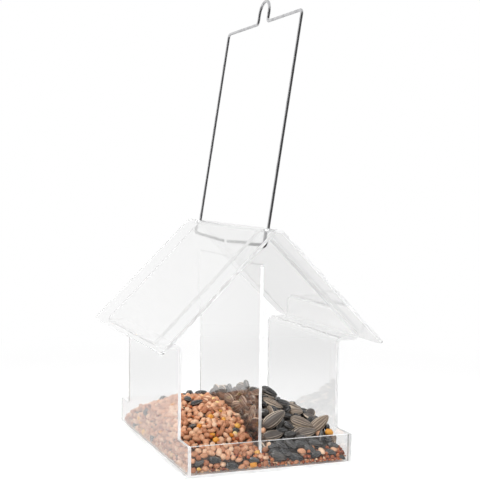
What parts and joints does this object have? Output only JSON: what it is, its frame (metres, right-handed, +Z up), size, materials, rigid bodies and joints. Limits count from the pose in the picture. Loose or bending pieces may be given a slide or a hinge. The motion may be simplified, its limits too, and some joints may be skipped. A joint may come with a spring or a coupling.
{
  "type": "bird feeding house",
  "caption": "Clear acrylic house-shaped bird feeder with open ends, divided seed bays and end trays under a pitched roof, hung from a bent wire that swings at the ridge.",
  "frame": {"origin": "middle of the underside of the base plate, on the ground", "axes": "+Z up, +Y along the ridge from the front tray to the back tray, +X to the right seen from the front"},
  "size_m": [0.1484, 0.168, 0.3034],
  "materials": {
    "clear_sheet": "clear, glossy, with bright cut edges",
    "steel_wire": "bright drawn wire",
    "grain": "matt tan grain with dark and orange seeds",
    "sunflower": "satin dark husks with pale stripes"
  },
  "bodies": {
    "house": {"base_plate": "clear_sheet", "house_shell": "clear_sheet", "outer_roof": "clear_sheet", "front_rim": "clear_sheet", "back_rim": "clear_sheet", "centre_divider": "clear_sheet", "seed_mix": "grain", "sunflower_seed": "sunflower"},
    "hanger": {"wire_hanger": "steel_wire"}
  },
  "joints": [
    {"name": "hanger_swing", "type": "hinge", "parent": "house", "child": "hanger", "pos_m": [0.0006, 0, 0.14982], "axis": [0, 1, 0], "range_deg": [-28.7, 15.3]}
  ]
}
